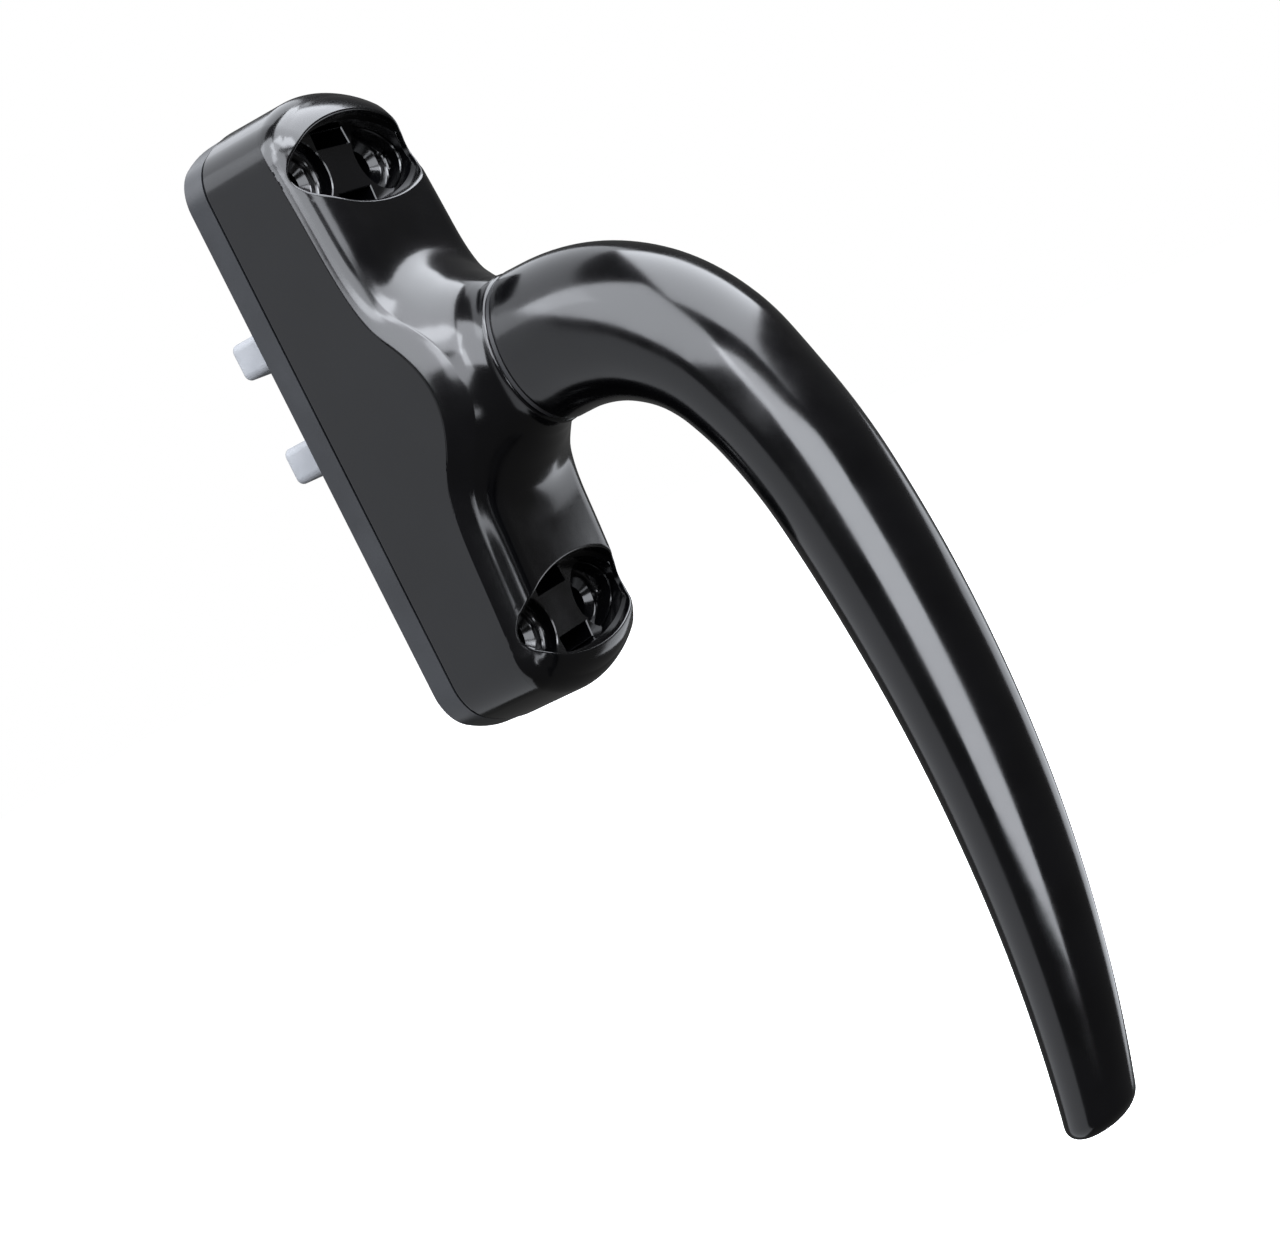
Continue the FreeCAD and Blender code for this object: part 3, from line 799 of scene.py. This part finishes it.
def make_lever():
    rings = socket_rings() + root_rings() + grip_rings()
    verts = [(x * MM, -h * MM, z * MM) for ring in rings for x, h, z in ring]
    faces = [list(range(AROUND))]
    for k in range(len(rings) - 1):
        here, there = k * AROUND, (k + 1) * AROUND
        for i in range(AROUND):
            j = (i + 1) % AROUND
            faces.append([here + i, there + i, there + j, here + j])
    faces.append([(len(rings) - 1) * AROUND + i for i in reversed(range(AROUND))])
    mesh = bpy.data.meshes.new("lever_body")
    mesh.from_pydata(verts, [], faces)
    shape = bmesh.new()
    shape.from_mesh(mesh)
    bmesh.ops.recalc_face_normals(shape, faces=shape.faces)
    shape.to_mesh(mesh)
    shape.free()
    return mesh


def rod_mesh(name, radius, start, stop, count=48):
    # Plain rod between two points in millimetres (x, height, z), closed at both ends.
    shape = bmesh.new()
    a = Vector((start[0], -start[1], start[2])) * MM
    b = Vector((stop[0], -stop[1], stop[2])) * MM
    turn = (b - a).to_track_quat("Z", "Y").to_matrix().to_4x4()
    turn.translation = (a + b) / 2
    bmesh.ops.create_cone(shape, cap_ends=True, segments=count, radius1=radius * MM,
                          radius2=radius * MM, depth=(b - a).length, matrix=turn)
    mesh = bpy.data.meshes.new(name)
    shape.to_mesh(mesh)
    shape.free()
    return mesh


def drill(obj, hole):
    # Cuts a hole out of the object's mesh and shades it smooth up to its real edges.
    cutter = bpy.data.objects.new("cutter", hole)
    bpy.context.scene.collection.objects.link(cutter)
    cut = obj.modifiers.new("drill", "BOOLEAN")
    cut.operation = "DIFFERENCE"
    cut.object = cutter
    graph = bpy.context.evaluated_depsgraph_get()
    mesh = bpy.data.meshes.new_from_object(obj.evaluated_get(graph))
    obj.modifiers.clear()
    bpy.data.objects.remove(cutter)
    obj.data = mesh
    mesh.polygons.foreach_set("use_smooth", [True] * len(mesh.polygons))
    mesh.set_sharp_from_angle(angle=math.radians(38))


lever = bpy.data.objects.new("lever_body", make_lever())
bpy.context.scene.collection.objects.link(lever)
drill(lever, rod_mesh("grub_hole", GRUB_RADIUS, (0, GRUB_HEIGHT, -3.0), (0, GRUB_HEIGHT, -20)))
lever.data.materials.clear()
lever.data.materials.append(MATERIALS["black_paint"])
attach(lever, "handle")
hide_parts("lever")

# Moulded and cast pieces have slightly broken edges.
for name, width in (("back_plate", 0.35), ("prong_upper", 0.2), ("prong_lower", 0.2),
                    ("slip_ring", 0.2), ("neck_sleeve", 0.15)):
    edge = nodes[name].modifiers.new("broken_edges", "BEVEL")
    edge.width = width * MM
    edge.segments = 3
    edge.limit_method = "ANGLE"
    edge.angle_limit = math.radians(40)


# ---------------------------------------------------------------- camera, lights and floor

def aim(obj, position, forward, up):
    # Cameras and lamps look along their own -Z axis.
    away = -Vector(forward).normalized()
    right = Vector(up).cross(away).normalized()
    matrix = Matrix((right, away.cross(right), away)).transposed().to_4x4()
    matrix.translation = Vector(position)
    obj.matrix_world = matrix


camera = bpy.data.objects.new("camera", bpy.data.cameras.new("camera"))
bpy.context.scene.collection.objects.link(camera)
camera.data.sensor_width = 36.0
camera.data.lens = 64.80
camera.data.clip_start = 0.01
camera.data.clip_end = 50.0
aim(camera, (-0.30241, -0.22975, -0.01225), (0.8294, 0.5506, -0.0946), (0.3153, -0.3217, 0.8928))
bpy.context.scene.camera = camera
bpy.context.scene.view_settings.view_transform = "Standard"


def direction(azimuth, elevation):
    # Azimuth 0 points to the room (-Y) and 90 to the right (+X).
    a = math.radians(azimuth)
    e = math.radians(elevation)
    return Vector((math.sin(a) * math.cos(e), -math.cos(a) * math.cos(e), math.sin(e)))


LAMP_CENTRE = Vector((0.0, -0.03, -0.04))
LAMP_DISTANCE = 1.2


def softbox(name, azimuth, elevation, wide, high, radiance, turn=0.0):
    # A rectangular light seen from the handle as wide by high degrees, turned about its middle.
    lamp = bpy.data.lights.new(name, "AREA")
    lamp.shape = "RECTANGLE"
    lamp.size = 2 * LAMP_DISTANCE * math.tan(math.radians(wide / 2))
    lamp.size_y = 2 * LAMP_DISTANCE * math.tan(math.radians(high / 2))
    lamp.energy = radiance * math.pi * lamp.size * lamp.size_y
    lamp.color = (0.95, 0.985, 1.05)
    obj = bpy.data.objects.new(name, lamp)
    bpy.context.scene.collection.objects.link(obj)
    out = direction(azimuth, elevation)
    up = Matrix.Rotation(math.radians(turn), 3, out) @ Vector((0, 0, 1))
    aim(obj, LAMP_CENTRE + out * LAMP_DISTANCE, -out, up)
    obj.visible_camera = False
    return obj


def flag(lamp, piece, state):
    # INCLUDE lights this piece alone; EXCLUDE keeps the light off it, as a studio flag does.
    group = bpy.data.collections.new(lamp.name + "_flag")
    group.objects.link(piece)
    group.collection_objects[0].light_linking.link_state = state
    lamp.light_linking.receiver_collection = group


# The lever and the base have a key light each, and the base two more for its neck and lower arm.
flag(softbox("key", -44, -4, 40, 54, 9.8, turn=-20), housing, "EXCLUDE")
flag(softbox("base_key", -44, 17, 42, 30, 6.0, turn=-20), housing, "INCLUDE")
flag(softbox("base_top", -29, 44, 40, 24, 8.5), housing, "INCLUDE")
flag(softbox("base_streak", -19, -17, 6, 26, 5.5, turn=-39), housing, "INCLUDE")
softbox("upper_left", -82, 41, 54, 56, 7.0, turn=16)
softbox("upper_right", 28, 51, 72, 46, 7.0)
softbox("top_rear", 178, 62, 90, 44, 1.8)
softbox("low_right", 77, -16, 26, 34, 1.7, turn=28)
softbox("side_fill", -150, -8, 74, 120, 0.95)


def make_floor(half_side=3.0, height=-0.2):
    # A pale floor well below the handle, left out of the reflections in the black gloss.
    pale, tree, shader = new_material("pale_floor")
    shader.inputs["Base Color"].default_value = (0.86, 0.86, 0.86, 1)
    shader.inputs["Roughness"].default_value = 0.9
    shader.inputs["Emission Color"].default_value = (1, 1, 1, 1)
    shader.inputs["Emission Strength"].default_value = 0.9
    tree.links.new(bump(tree, noise(tree, 60.0, 4.0), 0.1, 0.0005), shader.inputs["Normal"])
    corners = [(-1, -1), (1, -1), (1, 1), (-1, 1)]
    mesh = bpy.data.meshes.new("floor")
    mesh.from_pydata([(x * half_side, y * half_side, height) for x, y in corners], [], [(0, 1, 2, 3)])
    mesh.materials.append(pale)
    obj = bpy.data.objects.new("floor", mesh)
    bpy.context.scene.collection.objects.link(obj)
    obj.visible_glossy = False
    obj.visible_diffuse = False
    return obj


def make_world():
    # A faint even glow on the handle, and plain white behind it for the camera.
    world = bpy.data.worlds.new("studio")
    bpy.context.scene.world = world
    world.use_nodes = True
    tree = world.node_tree
    glow = tree.nodes["Background"]
    glow.inputs["Color"].default_value = (1.0, 1.0, 1.0, 1)
    glow.inputs["Strength"].default_value = 0.10
    backdrop = tree.nodes.new("ShaderNodeBackground")
    backdrop.inputs["Color"].default_value = (1, 1, 1, 1)
    backdrop.inputs["Strength"].default_value = 1.0
    paths = tree.nodes.new("ShaderNodeLightPath")
    switch = tree.nodes.new("ShaderNodeMixShader")
    tree.links.new(paths.outputs["Is Camera Ray"], switch.inputs["Fac"])
    tree.links.new(glow.outputs["Background"], switch.inputs[1])
    tree.links.new(backdrop.outputs["Background"], switch.inputs[2])
    tree.links.new(switch.outputs["Shader"], tree.nodes["World Output"].inputs["Surface"])


make_floor()
make_world()
